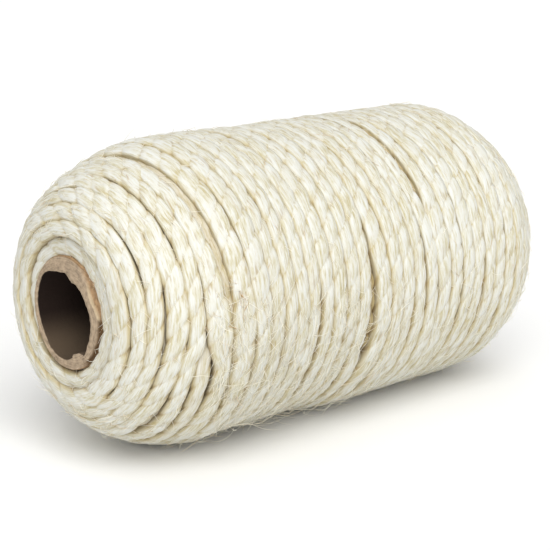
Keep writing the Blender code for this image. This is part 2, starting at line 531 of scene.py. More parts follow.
def gap_width(turn):
    """How wide the crease on the near side of the rope stands open."""
    width = np.zeros_like(turn)
    for gap in GAPS:
        open_here = on_stretch(turn, gap["edge"], gap["from_deg"], gap["to_deg"], GAP_EASE_DEG)
        width += gap["width"] * MM * open_here
    # Here and there a crease stands open a little for 10 to 20 mm, most of all low on the front.
    loose = looseness(turn)
    chance = smooth_noise(turn * 17.0, seed=5) + 0.25 * loose
    return width + (0.6 + 0.5 * loose) * MM * smooth_step(chance, 0.55, 1.0)


def crease_snugness(turn):
    """How little the turns press each other in the crease on the near side of the rope: in
    some stretches they lie almost flush, in others the crease is deep. Towards the far end
    they lie flusher."""
    uneven = 0.16 * smooth_noise(turn * 11.0, seed=6) + 0.10 * smooth_noise(turn * 29.0, seed=7)
    loose = looseness(turn)
    return 0.98 + uneven + 0.22 * loose - 0.12 * smooth_step(turn, FLUSH_FROM, FLUSH_TO) * (1.0 - loose)


def lay_on_roll(line, place, angle, rise, drop):
    """Points and outward directions on the roll for places along the centre line."""
    steps = np.arange(len(line)) * OUTLINE_STEP
    x, radius, out_x, out_radius = (np.interp(place, steps, column) for column in line.T)
    for slump in SLUMPS:
        spread = np.exp(-((place / MM - slump["place"]) / slump["reach"]) ** 2)
        turned = smooth_step(np.cos(angle - math.radians(slump["deg"])), 0.1, 0.9)
        rise = rise - slump["depth"] * MM * spread * turned
    x = x + rise * out_x + drop
    radius = radius + rise * out_radius
    # The tube is oval, so the turns round its mouth are too.
    mouth = np.exp(-np.minimum(place, steps[-1] - place) / OVAL_REACH)
    radius = radius - (TUBE_HALF_HEIGHT - TUBE_HALF_WIDTH) * mouth * np.sin(angle) ** 2
    around = np.stack([-np.sin(angle), np.cos(angle)], axis=1)
    centre = np.column_stack([x, radius[:, None] * around])
    centre[:, 2] += AXIS_Z
    outward = np.column_stack([out_x, out_radius[:, None] * around])
    return centre, outward


def path_table(turn, centre, outward, half_width):
    """What is known at each point of a path, with its length so far."""
    length = np.concatenate([[0.0], np.cumsum(np.linalg.norm(np.diff(centre, axis=0), axis=1))])
    return {"turn": turn, "centre": centre, "outward": outward, "half_width": half_width,
            "near_snugness": crease_snugness(turn), "far_snugness": crease_snugness(turn + 1),
            "sheltered": np.zeros_like(turn), "length": length}


def wind_outer_path(radius):
    """The outer layer's path: one rope from the near mouth to the far mouth."""
    line = centre_line(radius - CREST_RISE)
    last = TURN_EDGES[-1]["edge"] - 0.5
    turn = np.arange(-LEAD_TURNS, last + LEAD_TURNS, 1.0 / DEGREES)
    near = edge_place(turn) + gap_width(turn) / 2
    far = edge_place(turn + 1) - gap_width(turn + 1) / 2
    place = (near + far) / 2
    half_width = np.clip((far - near) / 2, LEAST_HALF_WIDTH, MOST_HALF_WIDTH)
    roll_radius = np.interp(place, np.arange(len(line)) * OUTLINE_STEP, line[:, 1])
    along = np.cumsum(roll_radius) * 2.0 * math.pi / DEGREES
    place = place + stray(along, SWAY, seed=11) * MM
    # The rope's first and last stretches dive, so that no loose end shows.
    dive_in = 1.0 - smooth_step(turn, -LEAD_TURNS, LEAD_TURNS)
    dive_out = smooth_step(turn, last - LEAD_TURNS, last + LEAD_TURNS)
    centre, outward = lay_on_roll(line, place, roll_angle(turn), stray(along, RISE, seed=13) * MM,
                                  LEAD_DEPTH * (dive_in - dive_out))
    return path_table(turn, centre, outward, half_width)


def wind_inner_path(inset, spacing):
    """The layer below, which shows only through the gaps."""
    line = centre_line(inset)
    start = INNER_PLACE - turn_at(3, INNER_DEG) * spacing
    end = (len(line) - 1) * OUTLINE_STEP - INNER_STOP
    turn = np.arange(0.0, (end - start) / spacing, 1.0 / DEGREES)
    along = turn * INNER_TURN_LENGTH
    place = start + turn * spacing + stray(along, SWAY, seed=77) * MM
    risen = on_stretch(turn, **RISEN)
    sunk = NEAR_END_SINK * (1.0 - smooth_step(place, SINK_FROM, SINK_TO))
    rise = stray(along, RISE, seed=79) * MM - sunk + risen * RISEN_HEIGHT
    centre, outward = lay_on_roll(line, place, roll_angle(turn), rise, 0.0)
    path = path_table(turn, centre, outward, spacing / 2 - risen * RISEN_NARROWING)
    # The risen stretch and the near end get less of the tint, so they are paler: painted light
    # where more light reaches them, and wear.
    path["sheltered"] = (0.45 + 0.55 * smooth_step(place, SHELTER_FROM, SHELTER_TO)) * (1.0 - 0.8 * risen)
    return path


def cut_path(path, first_turn, last_turn, step):
    """A stretch of the path between two turns, at even steps, with its frame worked out."""
    start, end = np.interp([first_turn, last_turn], path["turn"], path["length"])
    length = np.linspace(start, end, max(2, round((end - start) / step)) + 1)
    return frame_at(path, length)


def frame_at(path, length):
    """The path's centre, outward and sideways directions and half width at some lengths."""
    def read(name, offset=0.0):
        return np.stack([np.interp(length + offset, path["length"], c) for c in path[name].T], axis=1)

    # The way ahead is taken over 1 mm of the path.
    ahead = read("centre", 0.5 * MM) - read("centre", -0.5 * MM)
    ahead /= np.linalg.norm(ahead, axis=1)[:, None]
    outward = read("outward")
    outward -= ahead * np.sum(outward * ahead, axis=1)[:, None]
    outward /= np.linalg.norm(outward, axis=1)[:, None]
    found = {"centre": read("centre"), "ahead": ahead, "outward": outward,
             "sideways": np.cross(ahead, outward), "length": length}
    for name in ("half_width", "near_snugness", "far_snugness", "sheltered"):
        found[name] = np.interp(length, path["length"], path[name])
    return found


def path_piece(name, run, lay, seed):
    """A line of points for the node tree, which carries the rope's frame and twist."""
    length = run["length"]
    edges = [(i, i + 1) for i in range(len(length) - 1)]
    piece = new_piece(name, run["centre"], edges=edges)
    kept = ("centre", "outward", "sideways", "half_width", "near_snugness", "far_snugness", "sheltered")
    store_columns(piece.data, {
        **{key: run[key] for key in kept},
        "twist": 2.0 * math.pi * length / lay + stray(length, TWIST, seed),
        "thickness": 1.0 + stray(length, THICKNESS, seed + 2),
        "along": length / MM,
    })
    return piece


# ---------------------------------------------------------------- the rope's node tree

# A strand has a lane of its own in the UV map, so wide in millimetres, and half of its
# outline is so long. Fibres slant across it by so much for each millimetre along the rope.
STRANDS = 3
STRAND_ROOM = 8.0
HALF_STRAND = 2.8
FIBRE_SLANT = 0.6
PIT_DEPTH = 0.12
# Pressed turns reach this far past the middle of their crease, and flatten this gently.
PRESS_OVERLAP = 0.12 * MM
PRESS_SOFTNESS = 0.6 * MM
WELD_DISTANCE = 0.002 * MM
# The numbers and directions that the tree finds on each swept point.
SWEPT_NUMBERS = ("across", "along", "strand", "half_width")
SWEPT_DIRECTIONS = ("centre", "outward", "sideways")
ONLY_FOR_SWEEP = (*SWEPT_NUMBERS, *SWEPT_DIRECTIONS, "twist", "thickness", "near_snugness", "far_snugness")


def strand_outlines(add, group):
    """The outlines of the strands: each is a third of the rope's, flat in its middle and
    sloping at its sides into the creases between the strands."""
    points = add("ADD", group["Points Across"], 1.0)
    spaced = add("GeometryNodeResampleCurve", add("GeometryNodeCurvePrimitiveLine"), named={"Count": points})
    copies = add("GeometryNodeDuplicateElements", spaced, named={"Amount": STRANDS}, domain="SPLINE")
    number = copies.node.outputs["Duplicate Index"]
    share = add("SUBTRACT", add("GeometryNodeSplineParameter"), 0.5)
    from_middle = add("MULTIPLY", add("ABSOLUTE", share), 2.0)
    sunk = add("MULTIPLY", add("POWER", from_middle, 3.0), group["Strand Crease"])
    radius = add("MULTIPLY", add("SUBTRACT", 1.0, sunk), group["Radius"])
    lobe = add("MULTIPLY", share, 2.0 * math.pi / STRANDS)
    bearing = add("MULTIPLY_ADD", number, 2.0 * math.pi / STRANDS, lobe)
    outline_point = add(COMBINE, add("MULTIPLY", radius, add("COSINE", bearing)),
                        add("MULTIPLY", radius, add("SINE", bearing)))
    outline = add("GeometryNodeSetPosition", copies, named={"Position": outline_point})
    # Millimetres from the strand's middle.
    across = add("MULTIPLY", share, 2.0 * HALF_STRAND)
    with_across = add(STORE, outline, named={"Name": "across", "Value": across})
    return add(STORE, with_across, named={"Name": "strand", "Value": number})


def fibre_relief(add, group, swept, crease, beside):
    """How many times further from the rope's centre each point lies than on a smooth rope."""
    # Fibre bundles about 1.5 mm wide and 15 mm long stand out unevenly, and the whole strand
    # swells and thins. Both fade towards the crease between two strands.
    slanted = add("MULTIPLY_ADD", swept["along"], FIBRE_SLANT, swept["across"])
    bundle_at = add(COMBINE, add("MULTIPLY", slanted, 0.65), add("MULTIPLY", swept["along"], 0.07),
                    add("MULTIPLY", swept["strand"], 7.7))
    bundles = add(NOISE, bundle_at, named={"Scale": 1.0, "Detail": 2.0}, noise_dimensions="3D")
    swelling_at = add(COMBINE, add("MULTIPLY", swept["strand"], 3.3), add("MULTIPLY", swept["along"], 0.11))
    swellings = add(NOISE, swelling_at, named={"Scale": 1.0, "Detail": 1.0}, noise_dimensions="2D")
    uneven = add("SUBTRACT", add("ADD", bundles, swellings), 1.0)
    faded = add("MULTIPLY", uneven, add("SUBTRACT", 1.0, crease))
    grown = add("MULTIPLY_ADD", faded, group["Relief"], 1.0)
    # The creases between strands deepen into small pits beside the neighbouring turns.
    pit = add("MULTIPLY", add("MULTIPLY", beside, beside), crease)
    pitted = add("MULTIPLY_ADD", pit, -PIT_DEPTH, grown)
    return add("MULTIPLY", pitted, add(READ, "thickness"))


def press_turns(add, group, round_out, round_side, half_width):
    """Presses a round rope between its neighbours: takes and returns how far outward and
    sideways each point lies from the rope's centre."""
    radius = group["Radius"]
    # The rope widens or narrows to the room between its neighbours.
    on_near_side = add("GREATER_THAN", round_side, 0.0)
    near_or_far = add(MIX, named={
        "Factor": on_near_side, "A": add(READ, "far_snugness"), "B": add(READ, "near_snugness")})
    snug = add("MULTIPLY", add("MULTIPLY", radius, group["Snugness"]), near_or_far)
    side = add("MULTIPLY", round_side, add("DIVIDE", half_width, snug))
    # Pressing makes it squarer: a superellipse through the same crest and sides.
    shares = [add("DIVIDE", add("ABSOLUTE", distance), radius) for distance in (round_out, round_side)]
    norms = []
    for power in (2.0, group["Squareness"]):
        out_part, side_part = (add("POWER", share, power) for share in shares)
        norms.append(add("POWER", add("ADD", out_part, side_part), add("DIVIDE", 1.0, power)))
    fuller = add("DIVIDE", *norms)
    wide = add("MULTIPLY", side, fuller)
    wall = add("ADD", half_width, PRESS_OVERLAP)
    pressed = add("SMOOTH_MIN", add("ABSOLUTE", wide), wall, PRESS_SOFTNESS)
    pressed_side = add("MULTIPLY", pressed, add("SIGN", wide))
    return add("MULTIPLY", round_out, fuller), pressed_side


def three_strand_rope_tree():
    """Sweeps three twisted strands along a path, presses the turns against each other,
    and stores where each point lies on its strand."""
    tree, group = new_tree("three_strand_rope", (
        ("Path", "Geometry", None), ("Radius", "Float", 3.4 * MM), ("Strand Crease", "Float", 0.16),
        ("Points Across", "Int", 9), ("Squareness", "Float", 2.5), ("Relief", "Float", 0.15),
        ("Snugness", "Float", 0.75), ("Floor Height", "Float", 0.0), ("Material", "Material", None),
    ), "Rope")
    add = functools.partial(add_node, tree)

    # The path as a curve, with its normals facing out of the roll and the twist as tilt.
    curve = add("GeometryNodeMeshToCurve", group["Path"])
    normals = add("GeometryNodeSetCurveNormal", curve, mode="FREE", named={
        "Normal": add(READ, "outward", data_type="FLOAT_VECTOR")})
    tilted = add("GeometryNodeSetCurveTilt", normals, named={"Tilt": add(READ, "twist")})
    rope = add("GeometryNodeCurveToMesh", tilted, strand_outlines(add, group))

    # Where each point lies on its strand, and how far out and to the side it is.
    swept = {name: add(READ, name) for name in SWEPT_NUMBERS}
    swept.update({name: add(READ, name, data_type="FLOAT_VECTOR") for name in SWEPT_DIRECTIONS})
    from_middle = add("DIVIDE", add("ABSOLUTE", swept["across"]), HALF_STRAND)
    crease = add("POWER", from_middle, 4.0)
    arm = add(VECTOR_MATH, add("GeometryNodeInputPosition"), swept["centre"], operation="SUBTRACT")
    out, side = (add(VECTOR_MATH, arm, swept[way], operation="DOT_PRODUCT", output="Value")
                 for way in ("outward", "sideways"))
    beside = add("DIVIDE", side, group["Radius"])
    size = fibre_relief(add, group, swept, crease, beside)
    out, side = (add("MULTIPLY", size, distance) for distance in (out, side))
    out, side = press_turns(add, group, out, side, swept["half_width"])
    moved_out = add(VECTOR_MATH, swept["outward"], add(COMBINE, out, out, out), swept["centre"],
                    operation="MULTIPLY_ADD")
    place = add(VECTOR_MATH, swept["sideways"], add(COMBINE, side, side, side), moved_out,
                operation="MULTIPLY_ADD")
    # The lowest turns are pressed flat on the ground.
    above_ground = add(COMBINE, -FLOOR_REACH, -FLOOR_REACH, group["Floor Height"])
    grounded = add(VECTOR_MATH, place, above_ground, operation="MAXIMUM")
    # How deep a point lies between the turns, 0 at a crest and 1 at the rope's centre.
    depth = add("SUBTRACT", 1.0, add("DIVIDE", out, group["Radius"]))
    with_depth = add(STORE, rope, named={"Name": "depth", "Value": depth})
    placed = add("GeometryNodeSetPosition", with_depth, named={"Position": grounded})

    lane = add("MULTIPLY_ADD", swept["strand"], STRAND_ROOM, swept["across"])
    mapped = add(STORE, placed, data_type="FLOAT2", domain="CORNER", named={
        "Name": "FibreMap", "Value": add(COMBINE, lane, swept["along"])})
    welded = add("GeometryNodeMergeByDistance", mapped, named={"Distance": WELD_DISTANCE})
    # The shorter diagonals run straight along the rope, so the pressed edges stay clean.
    cut = add("GeometryNodeTriangulate", welded, quad_method="SHORTEST_DIAGONAL")
    creased = add(STORE, cut, data_type="BOOLEAN", domain="EDGE", named={
        "Name": "sharp_edge", "Value": add("GREATER_THAN", crease, 0.98)})
    end_tree(tree, creased, group["Material"])
    return tree


def close_ends(obj):
    """Caps the rope's cut ends, and drops the attributes that only the sweep needed."""
    for name in ONLY_FOR_SWEEP:
        attribute = obj.data.attributes.get(name)
        if attribute:
            obj.data.attributes.remove(attribute)
    rework_faces(obj.data, lambda bm: bmesh.ops.holes_fill(
        bm, edges=[edge for edge in bm.edges if edge.is_boundary], sides=0))


def lay_rope(row, stretch, settings, tree, material, snugness, ground, seed):
    """Lays rope along a stretch of path, as a finished piece."""
    piece = path_piece(row["piece"], stretch, settings.lay, seed)
    apply_geometry_nodes(piece, tree, {
        "Radius": settings.diameter / 2, "Strand Crease": settings.strand_crease,
        "Points Across": row["across"], "Squareness": settings.squareness, "Relief": settings.relief,
        "Snugness": snugness, "Floor Height": ground, "Material": material})
    close_ends(piece)
    finish_piece(piece, "sisal", "rope_winding")


# ---------------------------------------------------------------- loose fibres

FIBRE_POINTS = 7
# No fibre starts within this many turns of the rope's ends.
FIBRELESS_TURNS = 0.8
# How widely fibres turn from the rope's run, in radians, and bow, as a share of their length.
FIBRE_TURNING = 0.55
FIBRE_BOW = 0.22
# A fibre starts this deep inside the rope, stays this far above the ground, and its tip is
# this much thinner than its root.
FIBRE_ROOT = 0.35 * MM
FIBRE_GROUND = 0.25 * MM
FIBRE_TAPER = 0.75
# How thick fibres are, as a share of the setting, and how much thicker the turned ones are.
FIBRE_STOUTNESS = (0.7, 1.25)
TURNED_STOUTNESS = 1.8


def loose_fibre_lines(path, radius, seed):
    """Lines of points for the loose fibres. Each one starts inside the rope's surface,
    runs roughly along the rope and bends away from it."""
    random = np.random.default_rng(seed)
    share = np.linspace(0.0, 1.0, FIBRE_POINTS)
    points, tones, sizes = [], [], []
    for patch in FIBRE_PATCHES:
        count, brown, turned = patch["count"], patch.get("brown", 0.0), "yaw" in patch
        turn = turn_at(random.integers(*patch["turns"], count), random.uniform(*patch["deg"], count))
        # None stand on the stretches that dive under their neighbours.
        turn = np.where(turn < path["turn"][0] + FIBRELESS_TURNS, turn + 1.0, turn)
        turn = np.where(turn > path["turn"][-1] - FIBRELESS_TURNS, turn - 2.0, turn)
        root = frame_at(path, np.interp(turn, path["turn"], path["length"]))
        # Brown fibres come out of the gap beside the rope, on its near side.
        round_rope = random.uniform(-0.9, 0.9, count)[:, None] + (1.0 if brown > 0.5 else 0.0)
        normal = root["outward"] * np.cos(round_rope) + root["sideways"] * np.sin(round_rope)
        either_way = 0.0 if turned else math.pi * random.integers(0, 2, count)
        turning = random.normal(0.0, FIBRE_TURNING, count)
        yaw = (math.radians(patch.get("yaw", 0)) + turning + either_way)[:, None]
        heading = root["ahead"] * np.cos(yaw) + root["sideways"] * np.sin(yaw)
        across = np.cross(normal, heading)
        length = random.uniform(*patch["long"], count)[:, None] * MM
        lift = random.uniform(*patch["lift"], count)[:, None] * MM
        bow = random.normal(0.0, FIBRE_BOW, count)[:, None] * length
        curl = random.uniform(-1.0, 1.0, count)[:, None]
        # It leaves the rope steeply and levels off or dips again, bows to one side and waves.
        rise = lift * (1.6 * share - 0.6 * share ** 3 * (1.0 + curl)) - FIBRE_ROOT * (1.0 - share) ** 2
        side = bow * share ** 2 + 0.04 * length * np.sin(2.0 * math.pi * (share + curl))
        # The roll curves away below a fibre that runs along it, so the fibre follows it down.
        fall = np.clip((length * share) ** 2 * np.abs(np.cos(yaw)) / (2.0 * ROLL_RADIUS), 0.0, 1.6 * lift)
        start = root["centre"] + normal * radius * 0.97
        line = (start[:, None, :] + heading[:, None, :] * (length * share)[:, :, None]
                + normal[:, None, :] * (rise - fall)[:, :, None] + across[:, None, :] * side[:, :, None])
        line[:, :, 2] = np.maximum(line[:, :, 2], FIBRE_GROUND)
        points.append(line)
        browned = np.clip(random.normal(brown, 0.15, count), 0.0, 1.0)
        tones.append(np.repeat(browned, FIBRE_POINTS))
        stoutness = random.uniform(*FIBRE_STOUTNESS, count) * (TURNED_STOUTNESS if turned else 1.0)
        sizes.append(np.outer(stoutness, 1.0 - FIBRE_TAPER * share ** 2).ravel())
    return np.concatenate(points), np.concatenate(tones), np.concatenate(sizes)


def loose_fibre_tree():
    """Turns lines of points into thin three-sided fibres that taper to their tips."""
    tree, group = new_tree("loose_fibres", (
        ("Lines", "Geometry", None), ("Thickness", "Float", 0.2 * MM), ("Material", "Material", None),
    ), "Fibres")
    add = functools.partial(add_node, tree)
    curve = add("GeometryNodeMeshToCurve", group["Lines"])
    half = add("MULTIPLY", group["Thickness"], 0.5)
    outline = add("GeometryNodeCurvePrimitiveCircle", 3, named={"Radius": half})
    swept = add("GeometryNodeCurveToMesh", curve, outline, named={
        "Scale": add(READ, "size"), "Fill Caps": True})
    end_tree(tree, swept, group["Material"])
    return tree


# ---------------------------------------------------------------- the cardboard tube

# Points in each ring round the tube, and rings along its outside and across its rims.
TUBE_POINTS = 240
SIDE_RINGS, NEAR_RIM_RINGS, FAR_RIM_RINGS = 24, 18, 9
# The crushed mouth turns into a plain oval this far in. The bore's rings are this many
# millimetres from each end.
CRUSHED_DEPTH = 16.0 * MM
BORE_STEPS = (0.5, 2.0, 3.5, 5.5, 8.0, 11.0, 15.0, 20.0, 30.0, 50.0, 75.0)
# The looks of the tube's surface, which its material lays over the bare cardboard in turn.
TUBE_LOOKS = ("ply", "scuff", "lip", "bore", "dust")
# What shows round the near mouth, in degrees: where it starts, is full, falls off and ends.
# The outer ply is peeled off the rim's right. Lower down the ply is set lower and painted dark, as
# painted shade beside the rope. A flap is torn at the bottom, and low in the bore the cardboard is painted
# lighter, as painted light.
MOUTH_MARKS = {
    "peeled": {"start": 26.0, "full": 36.0, "fall": 84.0, "end": 92.0},
    "mouth_shade_strip": {"start": 82.0, "full": 92.0, "fall": 140.0, "end": 160.0},
    "torn": {"start": 148.0, "full": 152.0, "fall": 166.0, "end": 170.0},
    # Low in the bore, in this window, the cardboard is painted lighter as painted light.
    "painted_light_and_shade": {"start": 108.0, "full": 140.0, "fall": 215.0, "end": 262.0},
}
# The cut rims stand this far in from the tube's ends, and are this rough. Where a ply is gone
# the near rim is lower by its thickness, and nothing on the rim stands higher than the last.
NEAR_RIM, FAR_RIM = 0.25 * MM, 0.45 * MM
RIM_ROUGHNESS = 0.12 * MM
PLY_THICKNESS = 0.9 * MM
RIM_HIGHEST = 0.75 * MM


def oval_radius(angle, half_width, half_height):
    """An oval's radius at some angles from its top."""
    return 1.0 / np.sqrt((np.sin(angle) / half_width) ** 2 + (np.cos(angle) / half_height) ** 2)


def crushed_radius(degrees):
    """The bore's radius at the near mouth, all the way round."""
    angles = [row["deg"] for row in BORE_MOUTH]
    radii = [row["radius"] for row in BORE_MOUTH]
    past_first = np.where(degrees < angles[0], degrees + DEGREES, degrees)
    return np.interp(past_first, angles + [angles[0] + DEGREES], radii + [radii[0]]) * MM


def tube_rings(wall, seed):
    """Rings of points round the tube, from its outside over the near rim, through the bore
    and over the far rim. Each ring has its x, its radius and how it is coloured."""
    angle = np.linspace(0.0, 2.0 * math.pi, TUBE_POINTS, endpoint=False)
    # From -60 to 300 degrees, so that no mark on the mouth is cut in two.
    degrees = (np.degrees(angle) + 60.0) % DEGREES - 60.0
    ones = np.ones(TUBE_POINTS)

    def rough(every, change, offset=0.0):
        return smooth_noise(np.arange(TUBE_POINTS) / every + offset, seed + change)

    outer = oval_radius(angle, TUBE_HALF_WIDTH, TUBE_HALF_HEIGHT)
    plain_bore = oval_radius(angle, TUBE_HALF_WIDTH - wall, TUBE_HALF_HEIGHT - wall)
    near_bore = crushed_radius(degrees) + 0.10 * MM * rough(3.0, 0)
    far_bore = plain_bore + 0.5 * MM * rough(20.0, 1)
    marks = {name: plateau(degrees, **row) for name, row in MOUTH_MARKS.items()}
    # The radius from which the outer ply has peeled off the rim, and how far in the painted shade reaches.
    peel_from = (15.4 + 2.2 * smooth_step(np.abs(degrees - 62.0), 2.0, 28.0)) * MM
    mouth_shade_to = outer - (1.25 + 0.25 * rough(6.0, 4)) * MM
    rings = []

    def ring(x, radius, raised=0.0, **looks):
        rings.append({"x": x * ones - raised, "radius": radius * ones,
                      **{name: looks.get(name, 0.0) * ones for name in TUBE_LOOKS}})

    for x in np.linspace(TUBE_HALF_LENGTH - 1.0 * MM, -TUBE_HALF_LENGTH + 5.0 * MM, SIDE_RINGS):
        ring(x, outer, ply=1.0)
    # By the mouth, low on the front, the outer wall is painted dark as shade.
    for inset in (2.0 * MM, 0.3 * MM):
        ring(-TUBE_HALF_LENGTH + inset, outer, ply=1.0, scuff=0.9 * marks["mouth_shade_strip"])
    for share in np.linspace(0.02, 0.98, NEAR_RIM_RINGS):
        radius = outer + (near_bore - outer) * share
        off = marks["peeled"] * smooth_step(radius, peel_from, peel_from + 0.5 * MM)
        # In the same window the rim's outer band is painted dark as shade.
        scuff = marks["mouth_shade_strip"] * smooth_step(radius, mouth_shade_to - 0.2 * MM, mouth_shade_to + 0.2 * MM)
        roughness = RIM_ROUGHNESS * rough(4.0, 2, 97.0 * round(share * 17))
        plies = 0.10 * MM * math.sin(share * 26.0)
        rounded = 0.35 * MM * (1.0 - abs(2.0 * share - 1.0) ** 6)
        raised = (roughness + plies + rounded - PLY_THICKNESS * np.maximum(off, scuff)
                  + PLY_THICKNESS * marks["torn"] * share ** 3)
        # The torn ply ends in a thin raised lip, painted pale: partly the fresh tear's colour, partly a
        # painted highlight on its lit side.
        lip = marks["peeled"] * smooth_step(degrees, 40.0, 55.0)
        lip = lip * np.exp(-((radius - peel_from) / (0.3 * MM)) ** 2)
        raised = np.clip(raised + 0.35 * MM * lip, -PLY_THICKNESS, RIM_HIGHEST)
        # The rim's outermost edge shows the kraft ply and is darkened all round with the painted shade
        # colour.
        at_edge = share < 0.05
        ring(-TUBE_HALF_LENGTH + NEAR_RIM, radius, raised=raised, lip=lip,
             ply=np.maximum(off, 0.85 * at_edge) * (1.0 - lip), scuff=np.maximum(scuff, 0.5 * at_edge))
    # Each mouth is followed in, until the bore is a plain oval.
    for end, mouth, whole_to, depths in (
        (-1, near_bore, 2.0 * MM, BORE_STEPS),
        (1, far_bore, 1.0 * MM, reversed(BORE_STEPS)),
    ):
        for depth in depths:
            blend = smooth_step(depth * MM, whole_to, CRUSHED_DEPTH)
            # The whole bore is painted dark as shade.
            ring(end * (TUBE_HALF_LENGTH - depth * MM), mouth + (plain_bore - mouth) * blend, bore=1.0,
                 dust=marks["painted_light_and_shade"] * (1.0 - smooth_step(depth, 2.0, 34.0)))
    for share in np.linspace(0.98, 0.02, FAR_RIM_RINGS):
        roughness = RIM_ROUGHNESS * rough(4.0, 3, 53.0 * round(share * 13))
        rounded = 0.3 * MM * (1.0 - abs(2.0 * share - 1.0) ** 6)
        ring(TUBE_HALF_LENGTH - FAR_RIM, outer + (far_bore - outer) * share, ply=0.85 * (share < 0.05),
             raised=-(roughness + rounded))
    ring(TUBE_HALF_LENGTH - 0.5 * MM, outer, ply=1.0)
    return angle, rings


# ---------------------------------------------------------------- materials

# The patterns of the fibre run so many times in a millimetre across a strand and along it.
# Single fibres are 0.2 to 0.3 mm wide, and are drawn 0.45 mm wide to show at this size.
# Bundles of them are 1.5 mm wide. Stained fibres, 0.6 mm wide and up to 10 mm long, lie
# singly among the pale ones.
FIBRE_PATTERNS = (
    {"pattern": "fine", "across": 2.2, "along": 0.16, "detail": 3.0, "roughness": 0.7, "dimensions": "2D"},
    {"pattern": "bundle", "across": 0.65, "along": 0.06, "detail": 2.0, "roughness": 0.5, "dimensions": "2D"},
    {"pattern": "stain", "across": 1.5, "along": 0.14, "detail": 1.5, "roughness": 0.5, "dimensions": "3D"},
)


def new_material(name, roughness, specular=0.5):
    """A material with its tree and its shader."""
    material = bpy.data.materials.new(name)
    material.use_nodes = True
    shader = material.node_tree.nodes["Principled BSDF"]
    shader.inputs["Roughness"].default_value = roughness
    shader.inputs["Specular IOR Level"].default_value = specular
    return material, material.node_tree, shader


def shaded(colour, share):
    """A colour made darker or lighter by a share."""
    return [share * part for part in colour[:3]] + [1.0]


def colour_ramp(socket, stops):
    """Sets the stops of a new ColorRamp node, from its output socket."""
    ramp = socket.node.color_ramp
    for element, (position, colour) in zip(ramp.elements, (stops[0], stops[-1])):
        element.position = position
        element.color = colour
    for position, colour in stops[1:-1]:
        ramp.elements.new(position).color = colour


def sisal_material(settings):
    """Sisal: stiff, pale leaf fibres twisted into strands. They lie side by side, so the
    surface shows long fine streaks with a silky, mostly matt sheen, and its creases are painted straw-brown
    and darker as shade."""
    material, tree, shader = new_material("twisted_sisal_fibre", 0.6, specular=0.35)
    add = functools.partial(add_node, tree)

    lanes = add("ShaderNodeSeparateXYZ", add("ShaderNodeUVMap", uv_map="FibreMap"))
    lane, along = lanes.node.outputs["X"], lanes.node.outputs["Y"]
    across = add("WRAP", lane, STRAND_ROOM / 2, -STRAND_ROOM / 2)
    strand = add("SUBTRACT", lane, across)
    # Fibres are twisted against the lay, so they run almost straight along the rope.
    slanted = add("MULTIPLY_ADD", along, FIBRE_SLANT, lane)
    # Only the stains' noise reads the third coordinate, which keeps them off the bundles.
    found = {}
    for row in FIBRE_PATTERNS:
        pattern_at = add(COMBINE, add("MULTIPLY", slanted, row["across"]),
                         add("MULTIPLY", along, row["along"]), 5.0)
        found[row["pattern"]] = add(NOISE, pattern_at, noise_dimensions=row["dimensions"], named={
            "Scale": 1.0, "Detail": row["detail"], "Roughness": row["roughness"]})
    # Tone drifts over 20 to 40 mm of each strand.
    tone_at = add(COMBINE, strand, add("MULTIPLY", along, 0.035))
    tone = add(NOISE, tone_at, named={"Scale": 1.0, "Detail": 2.0}, noise_dimensions="2D")
    broad = add("MULTIPLY_ADD", found["bundle"], 0.24, add("MULTIPLY", tone, 0.15))
    colour = add(COLOUR_RAMP, add("MULTIPLY_ADD", found["fine"], 0.58, broad))
    colour_ramp(colour, [(0.34, settings.straw), (0.42, settings.buff), (0.49, settings.cream),
                         (0.60, settings.ivory)])

    # Stains gather in patches, and along the crease between two strands they are strengthened a little as
    # painted shade.
    from_middle = add("DIVIDE", add("ABSOLUTE", across), HALF_STRAND)
    crease = add(MAP_RANGE, from_middle, 0.70, 1.0, 0.0, 0.07, interpolation_type="SMOOTHSTEP")
    stained = add(MAP_RANGE, add("ADD", found["stain"], crease), 0.60, 0.76, 0.0, 0.55)
    # Fibre that other turns have covered keeps its straw colour, and its tint is partly painted shade.
    sheltered = add(ATTRIBUTE, attribute_name="sheltered", output="Fac")
    # Painted shade gathers between the turns: the fibre is painted straw-brown with depth, most
    # of all in the pits where a crease between strands meets a crease between turns.
    depth = add(ATTRIBUTE, attribute_name="depth", output="Fac")
    painted_light_and_shade = add(MAP_RANGE, depth, 0.06, 0.28, 0.0, 0.60, interpolation_type="SMOOTHSTEP")
    in_crease = add(MAP_RANGE, from_middle, 0.55, 0.95, 0.0, 0.6, interpolation_type="SMOOTHSTEP")
    in_pit = add(MAP_RANGE, depth, 0.22, 0.38, 0.0, 1.0, interpolation_type="SMOOTHSTEP")
    pitted = add("MULTIPLY", in_crease, in_pit)
    # Deep between the turns the fibre is painted dark brown, as painted shade.
    deep = add(MAP_RANGE, depth, 0.42, 1.0, 0.0, 0.85)
    for share, over, blend_type in (
        (stained, settings.tan, "MIX"), (sheltered, settings.sheltered, "MULTIPLY"),
        (painted_light_and_shade, settings.painted_light_and_shade, "MIX"), (pitted, settings.tan, "MIX"), (deep, settings.deep, "MIX"),
    ):
        colour = add(MIX, data_type="RGBA", blend_type=blend_type, output="Result", named={
            "Factor": share, "A": colour, "B": over})
    tree.links.new(colour, shader.inputs["Base Color"])
    height = add("MULTIPLY_ADD", found["fine"], 0.7, add("MULTIPLY", found["bundle"], 0.5))
    bump = add("ShaderNodeBump", named={"Height": height, "Strength": 0.75, "Distance": 0.35 * MM})
    tree.links.new(bump, shader.inputs["Normal"])
    shader.inputs["Sheen Weight"].default_value = 0.12
    shader.inputs["Sheen Roughness"].default_value = 0.5
    return material


